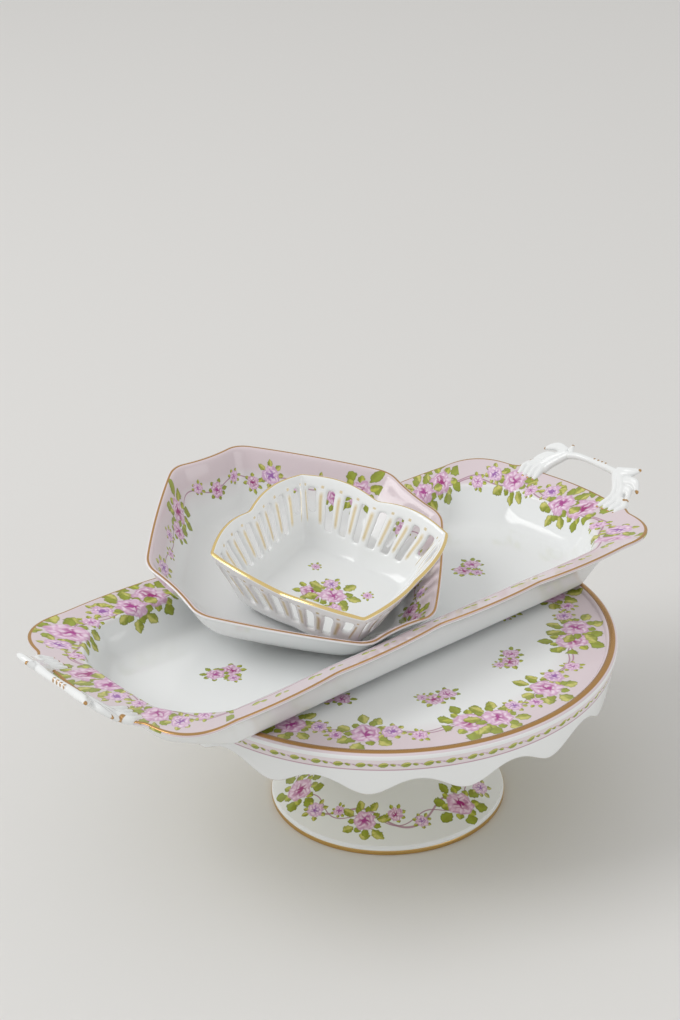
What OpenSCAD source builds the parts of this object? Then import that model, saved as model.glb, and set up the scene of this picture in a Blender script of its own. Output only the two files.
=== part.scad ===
/* [Cake plate] */
// Diameter of the plate over its gilt bead
plate_d = 320; // [280:1:360]
// Height of the stand from the table to the top of the bead
stand_h = 130; // [110:1:170]
// Thickness of the plate behind the bead
plate_t = 5.5; // [4:0.5:8]
// Height of the bead above the face of the plate
bead_h = 3; // [1.5:0.5:4]
// Width of the bead
bead_w = 8; // [6:0.5:12]
// Fall of the plate's face from the bead to its middle
well_fall = 1.4; // [0:0.1:2.5]

/* [Skirt] */
// Number of scallops round the skirt
scallops = 15; // [9:1:24]
// Depth of the skirt below the bead, at its lobes
skirt_long = 34; // [28:0.5:45]
// Depth of the skirt below the bead, at its notches
skirt_short = 21.5; // [14:0.5:26]
// Thickness of the skirt
skirt_t = 3.6; // [2.5:0.1:6]
// How far the skirt draws in from the plate's edge to its lobes
skirt_draw = 4; // [0:0.5:8]
// Direction of the first lobe, from the long axis of the tray
lobe_turn = 8; // [0:1:24]

/* [Pedestal foot] */
// Diameter of the foot on the table
foot_d = 168; // [140:1:200]
// Diameter of the neck at its narrowest
neck_d = 50; // [40:1:70]
// Height of the narrowest place of the neck
neck_h = 66; // [50:1:80]
// Diameter of the collar that carries the plate
collar_d = 92; // [80:1:130]
// Thickness of the foot's wall
foot_wall = 5; // [4:0.5:7]
// Height of the gilt edge at the foot
foot_edge_h = 3.6; // [2:0.1:6]
// Step in from the gilt edge to the moulding above it
foot_step = 1.6; // [0.5:0.1:3]

/* [Tray] */
// Length of the tray over its rim
tray_l = 442; // [380:1:500]
// Width of the tray over its rim
tray_w = 191; // [160:1:220]
// Height of the tray's rim above its underside
tray_h = 36; // [28:0.5:45]
// Length of the flat underside
tray_base_l = 376; // [330:1:380]
// Width of the flat underside
tray_base_w = 138; // [110:1:144]
// Corner cut of the underside
tray_base_cut = 30; // [15:1:40]
// Thickness of the tray's floor
tray_floor = 4.2; // [3:0.1:6]
// Height of the upright edge of the rim
lip_h = 2.6; // [1.5:0.1:3.5]
// How far the long sides draw in at the middle
waist = 4.8; // [0:0.2:8]
// Outward swell of each lobe along the rim
lobe_swell = 2.3; // [0:0.1:4]
// Distance of the end notches from the ends
notch_end = 48; // [40:1:60]
// Swell of the rim at the corners
corner_swell = 14.5; // [8:0.5:18]
// Width of the straight ends
end_w = 92; // [88:1:100]
// Swell of the ends between the roots of the handle
end_swell = 2.4; // [0:0.1:4]
// Middle of the tray beyond the middle of the stand, along the tray
tray_x = -11; // [-40:1:40]
// Middle of the tray beyond the middle of the stand, across the tray
tray_y = 21.5; // [0:0.5:35]

/* [Tray handles] */
// Lean of the handles, out from upright
handle_lean = 48; // [30:1:60]
// Thickness of the handles
handle_t = 5; // [4:0.5:7]
// Distance of the bar from the rim, along the lean
bar_reach = 24; // [20:0.5:28]
// Width of the bar
bar_w = 6; // [4:0.5:8]
// Distance between the middles of the two legs at the rim
leg_gap = 80; // [66:1:82]
// Width of each leg at the rim
root_w = 14; // [10:0.5:16]
// Width over the tips of the lowest leaves
leaf_span = 112; // [104:1:120]

/* [Octagonal dish] */
// Width of the dish over its rim
dish_w = 199.5; // [175:0.5:210]
// Corner cut of the rim
dish_cut = 44; // [30:1:50]
// Ease of the rim's corners, along each side of them
dish_round = 8; // [4:0.5:10]
// Height of the dish
dish_h = 40; // [36:1:55]
// Width of the flat underside
dish_base_w = 125; // [100:1:130]
// Thickness of the dish's floor
dish_floor = 4; // [3:0.1:6]
// Thickness of the dish's wall, measured level
dish_wall = 4; // [3:0.1:5]
// Outward bow of the sides
dish_bow = 1.5; // [0:0.5:8]
// Inward hollow of the corner cuts
dish_hollow = 2; // [0:0.5:5]
// Turn of the dish about its own upright
dish_turn = -44.7; // [-50:0.1:-40]
// Place of the dish along the tray, from the stand's middle
dish_x = -31.5; // [-45:0.5:-20]
// Where its lower edge stands on the tray's floor, from the tray's middle line
dish_heel = -24.5; // [-33:0.5:-20]

/* [Pierced basket] */
// Width of the basket over its corners
basket_w = 121; // [108:1:124]
// Height of the basket at its corners
basket_h = 46; // [40:1:52]
// Width of its flat underside
basket_base_w = 81; // [66:1:86]
// Outward swell of the sides at the rim
basket_swell = 7; // [4:0.5:10]
// Drop of the rim at the notch in the middle of each side
basket_dip = 2.5; // [0:0.5:5]
// Rise of the rim along each lobe
basket_crest = 2; // [0:0.5:5]
// Thickness of the basket's wall, measured level
basket_wall = 3.4; // [2.6:0.1:4]
// Thickness of the basket's floor
basket_floor = 3.5; // [3:0.1:5]
// Number of slots through each side
slots = 8; // [4:1:9]
// Width of a slot
slot_w = 4.4; // [3:0.1:5]
// Height of the lower end of the slots
slot_low = 13.5; // [12:0.5:18]
// Height of the lower end of the slots beside the corners
slot_short = 23.5; // [20:0.5:26]
// Height of the upper end of the slots
slot_high = 39; // [32:0.5:39.5]
// Place of the basket's middle in the dish, along the tray
basket_x = 2.5; // [-4:0.5:8]
// Place of the basket's middle in the dish, up the slope of its floor
basket_y = -32.5; // [-34:0.5:-20]
// Turn of the basket
basket_turn = -69.8; // [-78:0.1:-64]
// How much less than the dish the basket tips, where it rides up the dish's wall
basket_ease = 3.7; // [2:0.1:6]
// How far the basket tips to its raised side
basket_tip = 1.4; // [0:0.1:4]

/* [Hidden] */
// Gap between pieces that only rest on each other
rest = 0.3;
eps = 0.01;
big = 600;

plate_r = plate_d / 2;
bead_r = plate_r - bead_w / 2;
face_z = stand_h - bead_h;
under_z = face_z - plate_t;
foot_r = foot_d / 2;
neck_r = neck_d / 2;
collar_r = collar_d / 2;

tray_z = stand_h + rest;
tray_end = tray_l / 2;
rim_notch = tray_end - notch_end;
mid_notch = rim_notch * 0.52;
rim_y = tray_w / 2 - 0.9;
// Half of the clear width between the roots of a handle
root_in = leg_gap / 2 - root_w / 2 - 1;

// Slope of the dish, whose lower edge stands on the tray's floor and whose underside leans on the crest
// of its far rim, where the rim draws in most
rim_crest = mixed(tray_base_w / 2, rim_y - waist, 0.96);
lean_rise = tray_h - tray_floor;
lean_run = rim_crest - dish_heel;
dish_tilt = atan(lean_rise / lean_run);
dish_r = dish_w / 2;
dish_base = dish_base_w / dish_w;
dish_reach = (2 * dish_r - dish_cut) / sqrt(2) * dish_base;

basket_r = basket_w / 2;
basket_base_r = basket_base_w / 2;

porcelain = "whitesmoke";
pink_glaze = "#e3d3d8";

function mixed(a, b, t) = a * (1 - t) + b * t;
function spun(p, a) = [p.x * cos(a) - p.y * sin(a), p.x * sin(a) + p.y * cos(a)];
function tipped_x(p, a) = [p.x, p.y * cos(a) - p.z * sin(a), p.y * sin(a) + p.z * cos(a)];
function tipped_y(p, a) = [p.x * cos(a) + p.z * sin(a), p.y, p.z * cos(a) - p.x * sin(a)];

// Points from a towards b along a line that swells to its right by s
function swell(a, b, s, n) =
    let (d = b - a, side = [d.y, -d.x] / norm(d))
    [for (i = [0:n - 1]) let (t = i / n) a + d * t + side * s * 4 * t * (1 - t)];

// Outline through corners [x, y, swell of the stretch that follows, points of that stretch]
function outline(corners) = [for (i = [0:len(corners) - 1])
    let (a = corners[i], b = corners[(i + 1) % len(corners)])
    each swell([a.x, a.y], [b.x, b.y], a[2], a[3])];

function raised(points, z) = [for (p = points) [p.x, p.y, z]];

// Closed solid through rings of equally many points, from the lowest outside to the last inside
module loft(rings) {
    n = len(rings[0]);
    last = len(rings) - 1;
    polyhedron(points = [for (r = rings) each r],
        faces = [[for (i = [0:n - 1]) i],
            for (j = [0:last - 1], i = [0:n - 1])
                let (a = j * n, b = a + n, k = (i + 1) % n)
                each [[a + i, b + i, b + k], [a + i, b + k, a + k]],
            [for (i = [n - 1:-1:0]) last * n + i]]);
}

// Round plate with a raised bead along its edge
module cake_plate() {
    bead = [for (a = [165:-15:0]) [bead_r + bead_w / 2 * cos(a), face_z + bead_h * sin(a)]];
    color(pink_glaze) rotate_extrude($fn = 180) polygon([
        [0, face_z - well_fall], [plate_r * 0.55, face_z - well_fall], [bead_r - bead_w * 0.8, face_z],
        each bead, [plate_r, face_z - 1.5], [plate_r - 1, under_z], [0, under_z]]);
}

// Skirt that hangs from the edge of the plate, with a waved lower edge
module scalloped_skirt() {
    steps = scallops * 12;
    top_r = plate_r - 1.2;
    drop = stand_h - under_z;
    function edge(a) = let (w = cos(scallops * (a - lobe_turn)))
        mixed(skirt_short, skirt_long, 0.5 + 0.5 * w - 0.05 * (1 - w * w));
    function at(r, z, a) = [r * cos(a), r * sin(a), z];
    function ring(a) = let (low = edge(a), in = skirt_draw * (low - drop) / (skirt_long - drop))
        [at(top_r, under_z, a), at(top_r - in, stand_h - low + 1, a),
         at(top_r - in - skirt_t / 2, stand_h - low, a), at(top_r - in - skirt_t, stand_h - low + 1, a),
         at(top_r - skirt_t, under_z, a)];
    n = 5;
    color(porcelain) polyhedron(
        points = [for (i = [0:steps - 1]) each ring(i * 360 / steps)],
        faces = [for (i = [0:steps - 1], k = [0:n - 1])
            let (a = i * n, b = ((i + 1) % steps) * n, m = (k + 1) % n)
            each [[a + k, b + k, b + m], [a + k, b + m, a + m]]]);
}

// Hollow trumpet foot: a broad skirt, a narrow neck and a collar under the plate
module pedestal_foot() {
    shoulder_r = foot_r - foot_step;
    // Radius of the outside at a share t of the way up from the moulding to the neck
    function flare(t) = neck_r + (shoulder_r - neck_r) * pow(1 - t, 2.6);
    low = foot_edge_h + 3;
    spread = [for (t = [0:0.0625:1]) [flare(t), mixed(low, neck_h, t)]];
    function throat(t) = neck_r + (collar_r - neck_r) * pow(t, 2.4);
    neck = [for (t = [0.125:0.125:1]) [throat(t), mixed(neck_h, under_z, t)]];
    outside = concat([[foot_r, 0], [foot_r, foot_edge_h], [shoulder_r, foot_edge_h + 0.8]], spread, neck);
    inside = concat([for (t = [1:-0.125:0.125]) [throat(t) - foot_wall, mixed(neck_h, under_z, t)]],
        [for (t = [1:-0.0625:0.0625]) [flare(t) - foot_wall, mixed(low, neck_h, t) - foot_wall * (1 - t)]],
        [[shoulder_r - foot_wall, 0]]);
    color(porcelain) rotate_extrude($fn = 120) polygon(concat(outside, inside));
}

// Half of an outline that is the same after half a turn, made whole
function both_halves(half) = concat(half, [for (p = half) [-p.x, -p.y, p[2], p[3]]]);

// Ring of the tray: out is 0 at the underside's edge and 1 at the rim, inset draws it in from there
function tray_ring(out, z, inset = 0) =
    let (bl = tray_base_l / 2 - inset, bw = tray_base_w / 2 - inset, cut = tray_base_cut,
        rim_x = [rim_notch, mid_notch, 0],
        in = waist * 0.2, flat = bw - cut - 6,
        base = [[-(bl - cut), -bw, 0.2], [-(bl - cut) * 0.52, in * 0.5 - bw, 0.2],
            [0, in - bw, 0.2], [(bl - cut) * 0.52, in * 0.5 - bw, 0.2],
            [bl - cut, -bw, 4], [bl - 2, cut - bw, 0.4], [bl, -flat, 0.2],
            [bl + 0.6, -flat * 0.75, 0.2], [bl + 0.6, flat * 0.75, 0.2],
            [bl, flat, 0.4], [bl - 2, bw - cut, 4]],
        rim = [[-rim_notch, -rim_y, lobe_swell],
            [-mid_notch, waist * 0.48 - rim_y, lobe_swell],
            [0, waist - rim_y, lobe_swell],
            [mid_notch, waist * 0.48 - rim_y, lobe_swell],
            [rim_notch, -rim_y, corner_swell],
            [tray_end - 6.5, -end_w / 2 - 14, 1.5],
            [tray_end, -end_w / 2, 0],
            [tray_end, -root_in, end_swell],
            [tray_end, root_in, 0],
            [tray_end, end_w / 2, 1.5],
            [tray_end - 6.5, end_w / 2 + 14, corner_swell]],
        counts = [6, 6, 6, 6, 9, 2, 1, 7, 1, 2, 9])
    let (half = [for (i = [0:10]) concat(mixed(base[i], rim[i], out), counts[i])])
        raised(outline(both_halves(half)), tray_z + z);

// Long tray with a flanged, lobed rim
module tray_body() {
    flange_low = tray_h - 8;
    color(pink_glaze) translate([tray_x, tray_y]) loft([
        tray_ring(0, 0), tray_ring(0.12, 6), tray_ring(0.28, 15), tray_ring(0.46, 23),
        tray_ring(0.74, tray_h - lip_h - 4), tray_ring(1, tray_h - lip_h - 0.6), tray_ring(1, tray_h - 0.6),
        tray_ring(0.96, tray_h), tray_ring(0.6, tray_h - 3.2), tray_ring(0.3, tray_h - 5.8),
        tray_ring(0.18, flange_low), tray_ring(0.1, flange_low - 7),
        tray_ring(0, 13, 0.5), tray_ring(0, 7.4, 5), tray_ring(0, tray_floor, 13)]);
}

// Flat strip along points, each [x, y, half width]
module strip(points) {
    last = len(points) - 1;
    function side(i) =
        let (a = points[max(i - 1, 0)], b = points[min(i + 1, last)], d = [b.x - a.x, b.y - a.y])
        [d.y, -d.x] / norm(d) * points[i][2];
    polygon(concat([for (i = [0:last]) [points[i].x, points[i].y] + side(i)],
        [for (i = [last:-1:0]) [points[i].x, points[i].y] - side(i)]));
}

// Openwork handle of two leafy legs and a bar, standing on one end of the rim. Its far leg carries low
// leaves and its near leg a raised lobe, and the handles mirror each other
module tray_handle() {
    leg = leg_gap / 2;
    tip = leaf_span / 2;
    bar = bar_reach;
    // Curved leaf from a over b to c, which narrows from half width w
    module leaf(a, b, c, w) strip([for (t = [0:0.2:1])
        let (p = mixed(mixed(a, b, t), mixed(b, c, t), t)) [p.x, p.y, w * (1 - 0.7 * t)]]);
    module far_leg() {
        strip([[-leg, -8, root_w / 2], [2 - leg, 2, root_w / 2 - 0.6], [6.5 - leg, 10, 6],
            [13 - leg, bar - 5, 5.2], [16 - leg, bar - 1, 3.8]]);
        leaf([14 - leg, bar - 1], [5 - leg, bar + 1], [-leg - 6.5, bar - 5], 3.6);
        leaf([11 - leg, bar - 7], [-leg - 1, bar - 9], [-leg - 10.5, bar - 14.5], 3.6);
        leaf([6 - leg, bar - 14], [-leg - 6, bar - 18], [-tip - 2, bar - 22.5], 3.4);
    }
    module near_leg() {
        strip([[leg, -8, root_w / 2], [leg, 2, root_w / 2 - 0.6], [leg - 1.5, 9, 5.8],
            [leg - 7, bar - 7, 5.4], [leg - 12, bar - 1, 4.6]]);
        leaf([leg - 14, bar], [leg - 5, bar + 2], [leg + 4, bar + 8], 4.2);
        leaf([leg - 6, bar - 6], [leg + 7, bar - 3], [tip - 4, bar - 11], 3.6);
        leaf([leg - 4, bar - 13], [leg + 6, bar - 11], [tip - 7.5, bar - 19], 3.4);
    }
    end_z = tray_z + tray_h - lip_h / 2 - 0.6;
    color(porcelain) intersection() {
        translate([0, 0, end_z]) rotate([90 - handle_lean, 0, 0])
            linear_extrude(handle_t, center = true) {
                far_leg();
                near_leg();
                strip([[14 - leg, bar - 2, bar_w / 2 + 1.2], [24 - leg, bar - 0.3, bar_w / 2 + 0.5],
                    [-8, bar + 0.3, bar_w / 2], [6, bar, bar_w / 2], [leg - 22, bar - 0.5, bar_w / 2],
                    [leg - 13, bar + 0.3, bar_w / 2 + 0.8]]);
            }
        translate([-big / 2, 0, 0]) cube(big);
    }
}
module tray_handle_left() translate([tray_x - tray_end, tray_y]) rotate(90) mirror([1, 0]) tray_handle();
module tray_handle_right() translate([tray_x + tray_end, tray_y]) rotate(-90) tray_handle();

// Ring of the dish, k times as wide as its rim
function dish_ring(k, z) =
    let (a = dish_r, b = a - dish_cut, e = dish_round, g = e / sqrt(2), ease = [e * 0.16, 2],
        quarter = [[e - b, -a, dish_bow, 6], [b - e, -a, each ease], [b + g, g - a, -dish_hollow, 4],
            [a - g, -b - g, each ease]])
    raised(outline([for (q = [0:3], c = quarter) concat(k * spun(c, 90 * q), [k * c[2], c[3]])]), z);

// Stands what is drawn inside it in the tray, on its lower edge and against the far rim
module on_tray()
    translate([dish_x, tray_y + dish_heel, tray_z + tray_floor + rest])
        rotate([dish_tilt, 0, 0]) translate([0, dish_reach, 0]) children();

// Share of the rim's width that the outside of the dish has at height z
function dish_share(z) = dish_base + (1 - dish_base) * pow(z / dish_h, 0.58);

// Heights of the rings between the foot and the rim of the dish
dish_steps = [for (t = [0.4, 0.65, 0.9]) t * dish_h];
dish_level = dish_wall / dish_r;

// Dish with a cut-cornered rim
module octagonal_dish() {
    out_z = concat([0, 2.5, 8], dish_steps, [dish_h - 1.6]);
    in_z = concat([dish_h - 1.2], [for (i = [2:-1:0]) dish_steps[i]], [9.5, 6]);
    color(pink_glaze) on_tray() rotate(dish_turn) loft(concat(
        [for (z = out_z) dish_ring(dish_share(z), z)],
        [dish_ring(1, dish_h - 0.6), dish_ring(1 - 0.4 * dish_level, dish_h)],
        [for (z = in_z) dish_ring(dish_share(z) - dish_level, z)],
        [dish_ring(dish_share(3) - dish_level, dish_floor + 0.4),
            dish_ring(dish_base - dish_level, dish_floor)]));
}

// Height of the dish's inner face under a point of its plan, and 0 beyond its rim
function dish_inside(p) =
    let (q = spun(p, -dish_turn), b = dish_r - dish_cut, near = max(abs(q.x), abs(q.y)),
        far = min(abs(q.x), abs(q.y)), away = min(1, far / b * dish_r / max(near, 1)),
        side = near / (dish_r + dish_bow * (1 - away * away)),
        cut = (near + far) / (dish_r + b - dish_hollow * sqrt(2)),
        share = max(side, cut))
    share > 1 ? 0 : lookup(share, concat([[0, dish_floor], [dish_base - dish_level, dish_floor],
        [dish_share(3) - dish_level, dish_floor + 0.4]],
        [for (z = concat([6, 9.5], dish_steps, [dish_h - 1.2])) [dish_share(z) - dish_level, z]]));

// Ring of the basket: out is 0 at the underside's edge and 1 at the rim, wave lifts the lobes and lowers
// the notches between them
function basket_ring(out, z, inset = 0, wave = 0) =
    let (r = mixed(basket_base_r, basket_r, out) - inset, nose = mixed(7, 3.4, out),
        s = basket_swell * out, notch = r + s * 0.85, swell = s * 0.58 + 1,
        quarter = [[nose - r, -r, swell, 6], [0, -notch, swell, 6],
            [r - nose, -r, mixed(2.6, 1.2, out), 5]])
    [for (p = outline([for (q = [0:3], c = quarter) concat(spun(c, 90 * q), [c[2], c[3]])]))
        let (away = min(1, min(abs(p.x), abs(p.y)) / (r - nose)))
        [p.x, p.y, z + wave * (basket_crest * sin(180 * away) - basket_dip * pow(1 - away, 3))]];

basket_outside = [basket_ring(0, 0), basket_ring(0.12, 1.8), basket_ring(0.25, 5.5), basket_ring(0.33, 9.5),
    basket_ring(0.54, 22), basket_ring(0.86, basket_h - 8, 0, 0.6), basket_ring(1, basket_h - 0.6, 0, 1)];

// Height at which the walls of the dish stop the basket from sinking further
basket_seat = rest + 0.15 + max([for (ring = basket_outside, p = ring)
    let (q = tipped_y(tipped_x([each spun(p, basket_turn), p.z], -basket_ease), -basket_tip))
    dish_inside([basket_x + q.x, basket_y + q.y]) - q.z]);

// Square basket with a lobed rim and tall slots through its walls
module pierced_basket() {
    mid = (slots - 1) / 2;
    pitch = basket_base_w * 1.09 / (slots - 1);
    lean = atan((basket_r + basket_swell * 0.8 - basket_base_r) / basket_h);
    color(porcelain) on_tray() translate([basket_x, basket_y, basket_seat])
        rotate([-basket_ease, -basket_tip, 0]) rotate(basket_turn) difference() {
            loft(concat(basket_outside, [basket_ring(1, basket_h, basket_wall * 0.4, 1),
                basket_ring(1, basket_h - 0.8, basket_wall * 0.85, 1),
                basket_ring(0.86, basket_h - 8, basket_wall, 0.6),
                basket_ring(0.54, 22, basket_wall), basket_ring(0.33, 10, basket_wall),
                basket_ring(0.24, 6.4, basket_wall), basket_ring(0.14, 4.4, basket_wall),
                basket_ring(0, basket_floor, basket_wall + 1)]));
            for (q = [0:3], i = [0:slots - 1])
                let (x = (i - mid) * pitch, low = abs(i - mid) == mid ? slot_short : slot_low,
                    fan = x / basket_base_r * 10)
                rotate(90 * q) translate([x, -basket_base_r, 0]) rotate([90 + lean, 0, 0])
                    translate([(low - slot_low) * tan(fan), low / cos(lean), -8]) rotate(-fan)
                    slot((slot_high - low) / cos(lean));
        }
}

// Tall opening with round ends, a little wider at its top
module slot(tall) {
    r = slot_w / 2;
    linear_extrude(16) hull() {
        translate([0, r * 0.7]) circle(r * 0.7, $fn = 16);
        translate([0, tall - r]) circle(r, $fn = 16);
    }
}

cake_plate();
scalloped_skirt();
pedestal_foot();
tray_body();
tray_handle_left();
tray_handle_right();
octagonal_dish();
pierced_basket();
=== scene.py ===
import math
import bmesh
import bpy
from mathutils import Matrix, Vector


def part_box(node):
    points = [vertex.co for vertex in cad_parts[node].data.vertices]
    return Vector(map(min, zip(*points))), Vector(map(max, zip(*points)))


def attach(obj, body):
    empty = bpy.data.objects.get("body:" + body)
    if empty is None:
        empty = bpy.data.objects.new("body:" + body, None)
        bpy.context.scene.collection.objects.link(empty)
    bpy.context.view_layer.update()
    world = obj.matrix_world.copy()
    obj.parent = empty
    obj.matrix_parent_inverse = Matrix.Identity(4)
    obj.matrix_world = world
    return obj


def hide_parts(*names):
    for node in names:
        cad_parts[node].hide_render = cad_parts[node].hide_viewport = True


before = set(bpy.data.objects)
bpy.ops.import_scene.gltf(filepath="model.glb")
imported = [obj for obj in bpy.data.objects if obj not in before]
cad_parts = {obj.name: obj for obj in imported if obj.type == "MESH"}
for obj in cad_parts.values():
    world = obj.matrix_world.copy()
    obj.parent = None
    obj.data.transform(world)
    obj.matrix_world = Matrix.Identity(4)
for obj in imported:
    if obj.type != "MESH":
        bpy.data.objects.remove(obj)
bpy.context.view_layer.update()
bpy.ops.object.select_all(action="DESELECT")
mm = 0.001


# ---- rings and shells -------------------------------------------------------------------------

def mixed(a, b, t):
    return a + (b - a) * t


def swelled(a, b, swell, count):
    # points from a towards b on a line that swells to its right
    a, b = Vector(a), Vector(b)
    run = b - a
    side = Vector((run.y, -run.x)).normalized()
    return [a + run * (i / count) + side * (swell * 4 * (i / count) * (1 - i / count)) for i in range(count)]


def outlined(corners):
    # corners are (x, y, swell of the stretch that follows, points on it)
    points = []
    for here, following in zip(corners, corners[1:] + corners[:1]):
        points += swelled(here[:2], following[:2], here[2], here[3])
    return points


def raised(points, z):
    return [Vector((p.x, p.y, z)) for p in points]


def circle(radius, z, count):
    turns = [2 * math.pi * i / count for i in range(count)]
    return [Vector((radius * math.cos(turn), radius * math.sin(turn), z)) for turn in turns]


def spreadAlong(ring):
    # running length round a ring, in millimetres, with the closing length last
    lengths = [0]
    for here, following in zip(ring, ring[1:] + ring[:1]):
        lengths.append(lengths[-1] + (following - here).length)
    return lengths


def faceOut():
    # every face of the piece in hand turned outwards, then out of edit mode
    bpy.ops.mesh.select_all(action="SELECT")
    bpy.ops.mesh.normals_make_consistent(inside=False)
    bpy.ops.object.mode_set(mode="OBJECT")


def pullShell(name, rings, along, across, place=Matrix.Identity(4)):
    # starts as a circle, which is extruded ring by ring; along and across go into the decor map
    count = len(rings[0])
    bpy.ops.mesh.primitive_circle_add(vertices=count, radius=0.1)
    piece = bpy.context.object
    piece.name = name
    bpy.ops.object.mode_set(mode="EDIT")
    for step, ring in enumerate(rings):
        if step:
            bpy.ops.mesh.extrude_region_move(TRANSFORM_OT_translate={"value": (0, 0, 0.001)})
        mesh = bmesh.from_edit_mesh(piece.data)
        mesh.verts.ensure_lookup_table()
        for i, point in enumerate(ring):
            mesh.verts[step * count + i].co = place @ (point * mm)
        bmesh.update_edit_mesh(piece.data)
    layDecor(piece, count, along, across)
    faceOut()
    return piece


def closeRing(piece, count, span):
    # a floor across the first ring, as a grid
    bpy.ops.object.mode_set(mode="EDIT")
    bpy.ops.mesh.select_mode(type="EDGE")
    bpy.ops.mesh.select_all(action="DESELECT")
    mesh = bmesh.from_edit_mesh(piece.data)
    for edge in mesh.edges:
        edge.select = all(vert.index < count for vert in edge.verts)
    bmesh.update_edit_mesh(piece.data)
    bpy.ops.mesh.fill_grid(span=span)
    faceOut()


def closeHoles():
    # whatever is still open in the piece in hand, such as the middle of a turned one
    bpy.ops.object.mode_set(mode="EDIT")
    bpy.ops.mesh.select_all(action="SELECT")
    bpy.ops.mesh.fill_holes(sides=0)
    faceOut()


def layDecor(piece, count, along, across):
    mesh = bmesh.from_edit_mesh(piece.data)
    layer = mesh.loops.layers.uv.new("decor")
    for face in mesh.faces:
        columns = [loop.vert.index % count for loop in face.loops]
        wraps = max(columns) - min(columns) > count / 2 and len(columns) == 4
        for loop, column in zip(face.loops, columns):
            column = count if wraps and column == 0 else column
            loop[layer].uv = (along[column], across[loop.vert.index // count])
    bmesh.update_edit_mesh(piece.data)


def worked(piece, kind, **settings):
    # one modifier with its settings, applied at once
    modifier = piece.modifiers.new(kind, kind)
    for setting, value in settings.items():
        setattr(modifier, setting, value)
    bpy.context.view_layer.objects.active = piece
    bpy.ops.object.modifier_apply(modifier=modifier.name)


def smoothed(piece, levels, angle):
    # a subdivision surface takes the last facets out, as the mould's plaster is rubbed smooth
    if levels:
        worked(piece, "SUBSURF", levels=levels, render_levels=levels)
    closeHoles()
    bpy.ops.object.select_all(action="DESELECT")
    piece.select_set(True)
    bpy.ops.object.shade_smooth_by_angle(angle=math.radians(angle))
    bpy.ops.object.select_all(action="DESELECT")
    return piece


def profileLengths(profile, start):
    # running length along a profile of (out, up) places, counted from the one numbered start
    lengths = [0]
    for (r0, z0), (r1, z1) in zip(profile, profile[1:]):
        lengths.append(lengths[-1] + math.hypot(r1 - r0, z1 - z0))
    return [value - lengths[start] for value in lengths]


# ---- cake stand -------------------------------------------------------------------------------

plateLow, plateHigh = [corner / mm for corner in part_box("cake_plate")]
plate = {"radius": plateHigh.x, "top": plateHigh.z, "under": plateLow.z, "beadHeight": 3, "beadWidth": 8,
         "wellFall": 1.4, "garland": 140, "round": 192}


def makePlate(p):
    faceZ = p["top"] - p["beadHeight"]
    beadMiddle = p["radius"] - p["beadWidth"] / 2
    bead = [(beadMiddle + p["beadWidth"] / 2 * math.cos(math.radians(a)),
             faceZ + p["beadHeight"] * math.sin(math.radians(a))) for a in range(168, -1, -12)]
    face = [(0.5, faceZ - p["wellFall"]), (45, faceZ - p["wellFall"]), (88, faceZ - p["wellFall"]),
            (118, faceZ - p["wellFall"] * 0.8), (p["garland"], faceZ - p["wellFall"] * 0.3),
            (beadMiddle - p["beadWidth"] * 0.72, faceZ - 0.1), (beadMiddle - p["beadWidth"] * 0.56, faceZ)]
    under = [(p["radius"], faceZ - 1.5), (p["radius"] - 0.5, p["under"] + 0.6),
             (p["radius"] - 1.4, p["under"]), (100, p["under"]), (0.5, p["under"])]
    profile = face + bead + under
    rings = [circle(r, z, p["round"]) for r, z in profile]
    around = [p["garland"] * 2 * math.pi * i / p["round"] for i in range(p["round"] + 1)]
    # the map counts inwards from the edge as far as the bead's crest, and down the outside past it
    crest = len(face) + 8
    inward = [p["radius"] - r if i < crest else -abs(p["top"] - z) for i, (r, z) in enumerate(profile)]
    piece = pullShell("CakePlate", rings, around, inward)
    return smoothed(piece, 0, 35)


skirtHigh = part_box("scalloped_skirt")[1] / mm
skirt = {"radius": plateHigh.x - 1.2, "top": skirtHigh.z, "long": 34, "short": 21.5, "thick": 3.6,
         "drawIn": 4, "scallops": 15, "turn": 8, "rim": 1.3, "bandRadius": 158, "bandFall": 8.5,
         "round": 360, "rows": 7}


def makeSkirt(s):
    # the sheet hangs from the plate; across runs from 0 at its top to 1 on the scallops
    def lowEdge(angle):
        wave = math.cos(s["scallops"] * (angle - math.radians(s["turn"])))
        return plate["top"] - mixed(s["short"], s["long"], 0.5 + 0.5 * wave - 0.05 * (1 - wave * wave))
    angles = [2 * math.pi * i / s["round"] for i in range(s["round"])]
    rings = []
    for row in range(s["rows"] + 1):
        ring = []
        for angle in angles:
            z = mixed(s["top"], lowEdge(angle), row / s["rows"])
            radius = s["radius"] - s["drawIn"] * (s["top"] - z) / (s["long"] - plate["top"] + s["top"])
            ring.append(Vector((radius * math.cos(angle), radius * math.sin(angle), z)))
        rings.append(ring)
    around = [s["bandRadius"] * a for a in angles + [2 * math.pi]]
    piece = pullShell("ScallopedSkirt", rings, around, [row / s["rows"] for row in range(s["rows"] + 1)])
    worked(piece, "SOLIDIFY", thickness=s["thick"] * mm, offset=-1, use_even_offset=True)
    worked(piece, "BEVEL", width=s["rim"] * mm, segments=3, limit_method="ANGLE",
           angle_limit=math.radians(50))
    return smoothed(piece, 0, 40)


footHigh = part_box("pedestal_foot")[1] / mm
foot = {"radius": footHigh.x, "top": footHigh.z, "neck": 25, "neckHeight": 66, "collar": 46, "wall": 5,
        "edgeHeight": 3.6, "step": 1.6, "garland": 62, "round": 160}


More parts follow.
